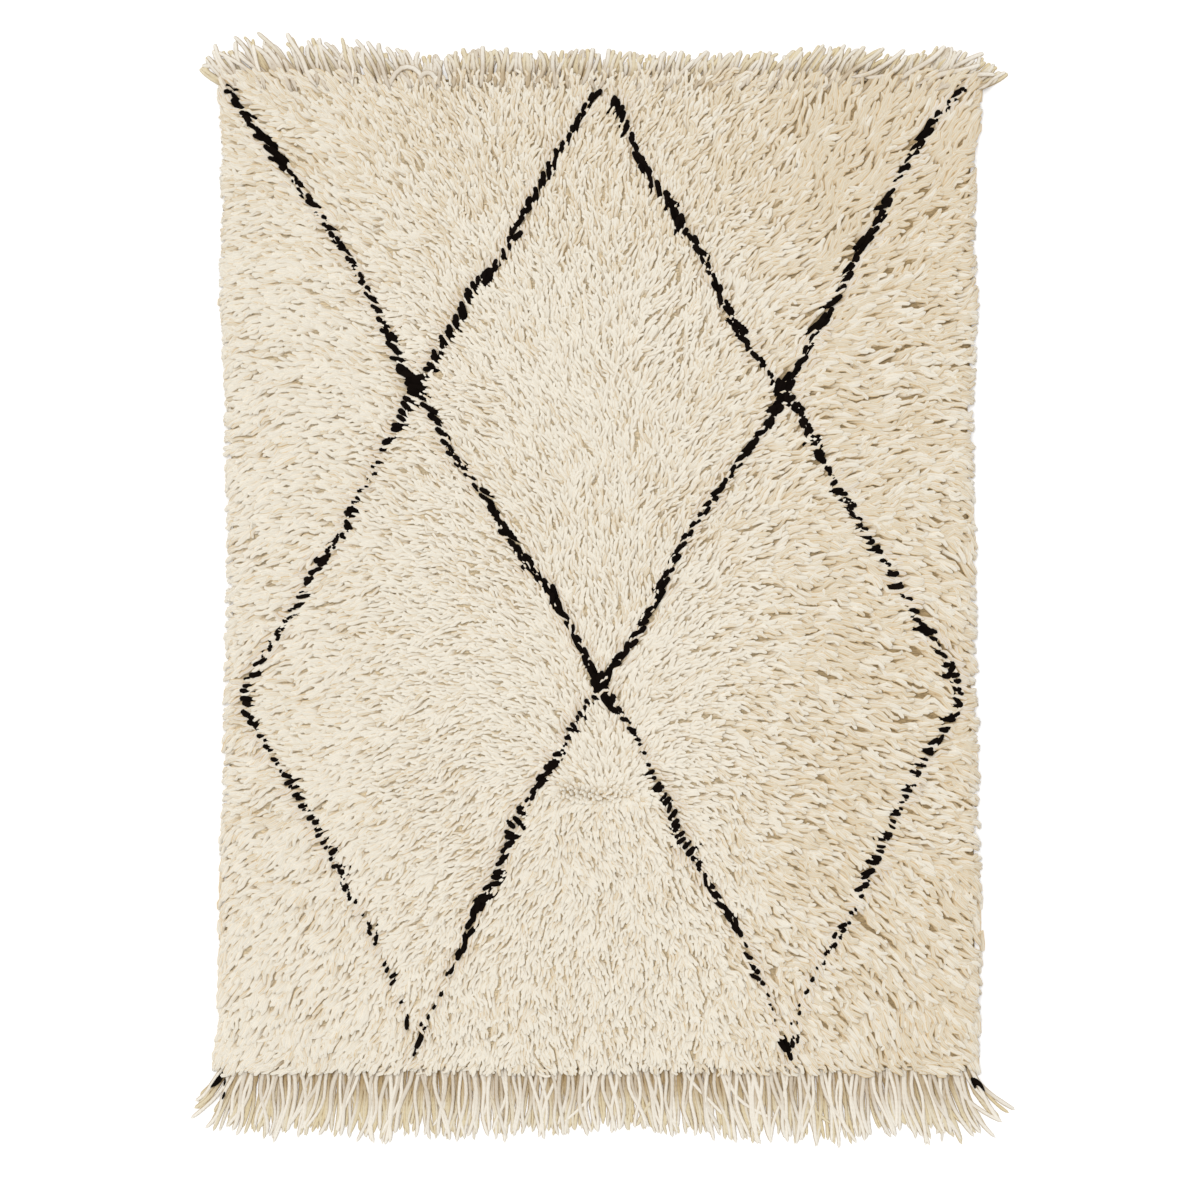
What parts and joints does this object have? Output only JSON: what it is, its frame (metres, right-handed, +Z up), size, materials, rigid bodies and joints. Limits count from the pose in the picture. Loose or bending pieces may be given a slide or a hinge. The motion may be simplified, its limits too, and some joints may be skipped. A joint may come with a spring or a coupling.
{
  "type": "beni ourain rug",
  "caption": "Shaggy cream wool rug with a black hand-knotted diamond lattice, a short fringe at one end and a long fringe at the other.",
  "frame": {"origin": "middle of the rug's outer box, on the floor it lies on", "axes": "+Z up, +Y along the length towards the short fringe, +X to the right seen from above with the short fringe away"},
  "size_m": [1.4848, 2.0268, 0.0321],
  "materials": {
    "cream_wool": "matt shaggy wool",
    "fringe_wool": "matt twisted wool",
    "black_wool": "matt wool"
  },
  "bodies": {
    "root": {"rug_body": "cream_wool", "fringe_short_end": "fringe_wool", "fringe_long_end": "fringe_wool", "black_tuft_left": "black_wool", "black_tuft_right": "black_wool"}
  },
  "joints": []
}
